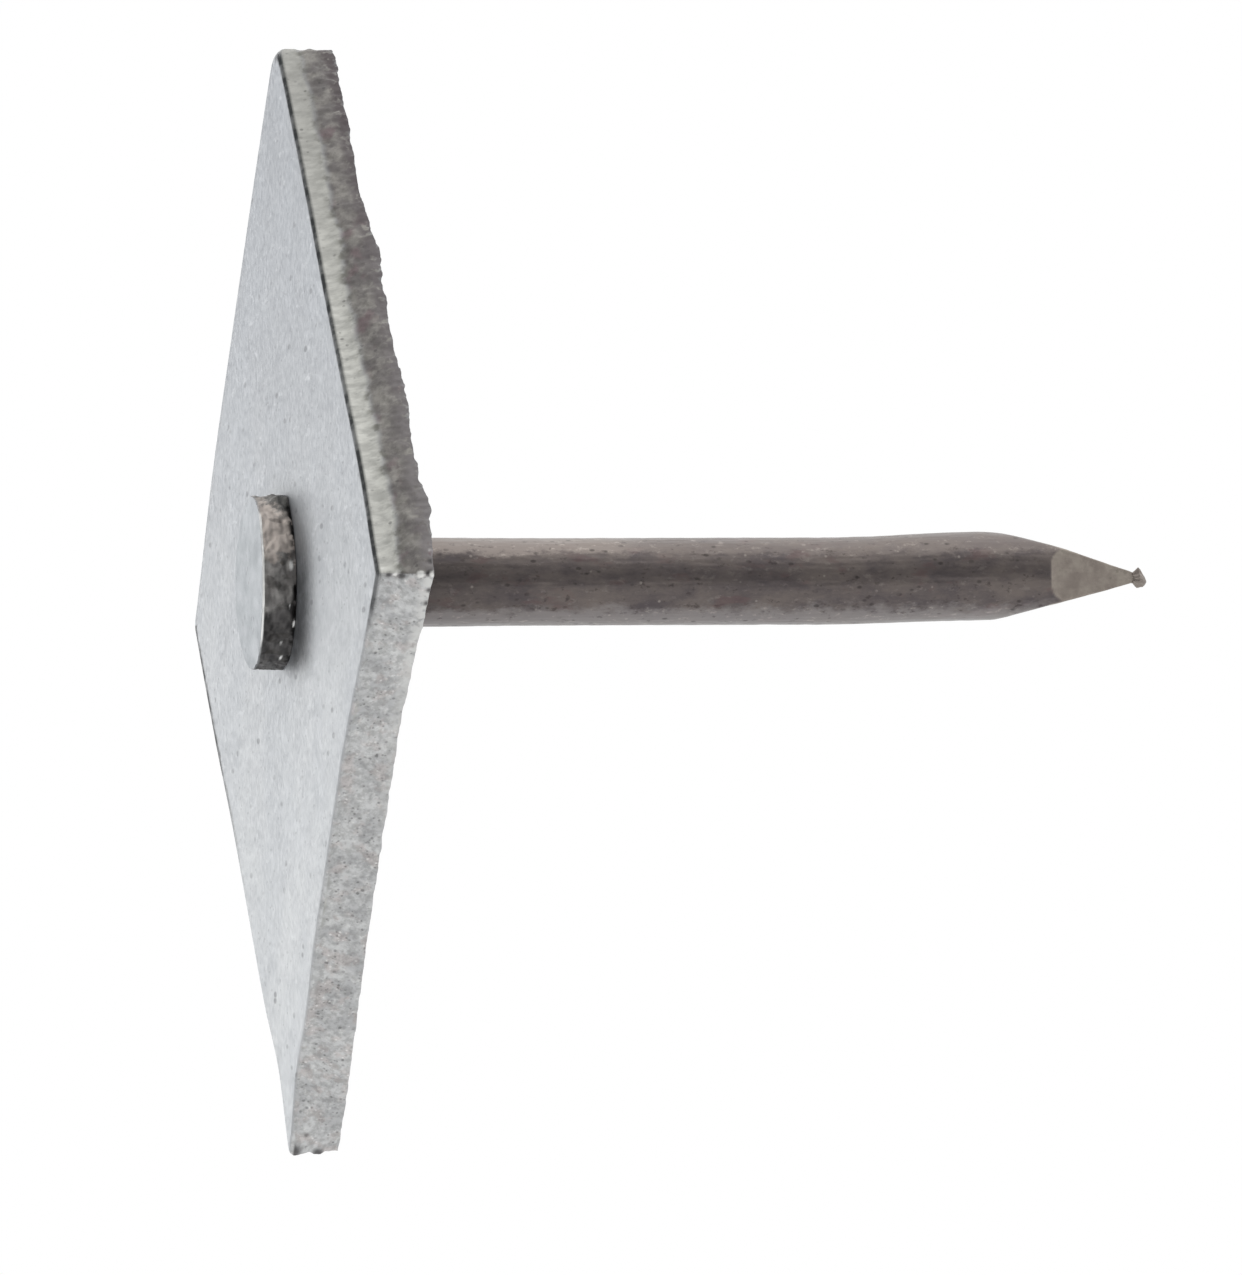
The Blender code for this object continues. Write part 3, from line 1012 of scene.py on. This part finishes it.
# The panel light: the way it lies from the nail, its distance and size, and its power in watts.
KEY_FROM = Vector((-0.34, 0.92, 0.18))
KEY_DISTANCE = 0.4
KEY_SIZE = 0.26
KEY_POWER = 0.34


def make_floor(low):
    mesh = bpy.data.meshes.new("studio_floor")
    half = FLOOR_SIZE / 2
    corners = [(-half, -half, 0), (half, -half, 0), (half, half, 0), (-half, half, 0)]
    mesh.from_pydata(corners, [], [(0, 1, 2, 3)])
    floor = bpy.data.objects.new("studio_floor", mesh)
    bpy.context.scene.collection.objects.link(floor)
    floor.location = (0, 0, low.z - FLOOR_DROP)
    paper = bpy.data.materials.new("studio_paper")
    paper.use_nodes = True
    paper.node_tree.nodes["Principled BSDF"].inputs["Base Color"].default_value = (0.9, 0.9, 0.9, 1)
    paper.node_tree.nodes["Principled BSDF"].inputs["Roughness"].default_value = 0.9
    mesh.materials.append(paper)


def make_world():
    """Soft light from behind the object (+Y) and from above, dimmer from the head's side and the camera's.

    Seen by the camera itself, the surroundings are plain white.
    """
    world = bpy.data.worlds.new("studio_white")
    world.use_nodes = True
    tree = world.node_tree
    tree.nodes.clear()
    toward = tree.nodes.new("ShaderNodeSeparateXYZ")
    tree.links.new(tree.nodes.new("ShaderNodeTexCoord").outputs["Generated"], toward.inputs["Vector"])
    levels = []
    ramps = (
        ("X", -0.8, -0.1, LEFT_LIGHT, 1.0),
        ("Y", -0.9, -0.2, FRONT_LIGHT, BACK_LIGHT),
        ("Z", 0.1, 0.9, 1.0, TOP_LIGHT),
    )
    for axis, low, high, at_low, at_high in ramps:
        level = tree.nodes.new("ShaderNodeMapRange")
        level.interpolation_type = "SMOOTHSTEP"
        tree.links.new(toward.outputs[axis], level.inputs["Value"])
        for key, value in (("From Min", low), ("From Max", high), ("To Min", at_low), ("To Max", at_high)):
            level.inputs[key].default_value = value
        levels.append(level.outputs["Result"])
    total = levels[0]
    for level in levels[1:]:
        product = tree.nodes.new("ShaderNodeMath")
        product.operation = "MULTIPLY"
        tree.links.new(total, product.inputs[0])
        tree.links.new(level, product.inputs[1])
        total = product.outputs["Value"]
    seen = tree.nodes.new("ShaderNodeMix")
    tree.links.new(tree.nodes.new("ShaderNodeLightPath").outputs["Is Camera Ray"], seen.inputs["Factor"])
    tree.links.new(total, seen.inputs["A"])
    seen.inputs["B"].default_value = 1.0
    background = tree.nodes.new("ShaderNodeBackground")
    tree.links.new(seen.outputs["Result"], background.inputs["Strength"])
    background.inputs["Color"].default_value = (1, 1, 1, 1)
    output = tree.nodes.new("ShaderNodeOutputWorld")
    tree.links.new(background.outputs["Background"], output.inputs["Surface"])
    bpy.context.scene.world = world


def make_key_light():
    """A soft panel, low over the plate's face, which throws the head's shadow to the near side."""
    data = bpy.data.lights.new("key_panel", "AREA")
    data.size = KEY_SIZE
    data.energy = KEY_POWER
    panel = bpy.data.objects.new("key_panel", data)
    panel.location = KEY_FROM * KEY_DISTANCE
    panel.rotation_mode = "QUATERNION"
    panel.rotation_quaternion = KEY_FROM.to_track_quat("Z", "Y")
    panel.visible_camera = False
    bpy.context.scene.collection.objects.link(panel)


def make_studio(low):
    make_world()
    make_key_light()
    bpy.context.scene.view_settings.view_transform = "Standard"
    make_floor(low)


# The camera: on the head's side of the plate, about 11 degrees off its plane, and slightly below the nail.
# Its angles are in degrees, and its lens and sensor in millimetres.
CAMERA_AZIMUTH = -11.21
CAMERA_ELEVATION = -1.99
CAMERA_ROLL = -0.62
CAMERA_DISTANCE = 366.3 * MM
CAMERA_TARGET = (9.43 * MM, 0, -1.80 * MM)
CAMERA_LENS = 321.1
CAMERA_SENSOR = 36
CAMERA_NEAR = 0.01
CAMERA_FAR = 10


def make_camera():
    a, e, roll = (radians(v) for v in (CAMERA_AZIMUTH, CAMERA_ELEVATION, CAMERA_ROLL))
    back = Vector((sin(a) * cos(e), -cos(a) * cos(e), sin(e)))
    right = (-back).cross(Vector((0, 0, 1))).normalized()
    up = right.cross(-back)
    level = Matrix((right, up, back)).transposed()
    data = bpy.data.cameras.new("camera")
    data.sensor_width = CAMERA_SENSOR
    data.lens = CAMERA_LENS
    data.clip_start = CAMERA_NEAR
    data.clip_end = CAMERA_FAR
    camera = bpy.data.objects.new("camera", data)
    turned = level @ Matrix.Rotation(roll, 3, "Z")
    camera.matrix_world = Matrix.Translation(Vector(CAMERA_TARGET) + back * CAMERA_DISTANCE) @ turned.to_4x4()
    bpy.context.scene.collection.objects.link(camera)
    bpy.context.scene.camera = camera


make_camera()
make_studio(plate_low)
add_piece("plate_body", make_plate_mesh(), plate_material(), "plate", "square_plate")
add_piece("nail_body", make_nail_mesh(), nail_material(), "nail", "nail")
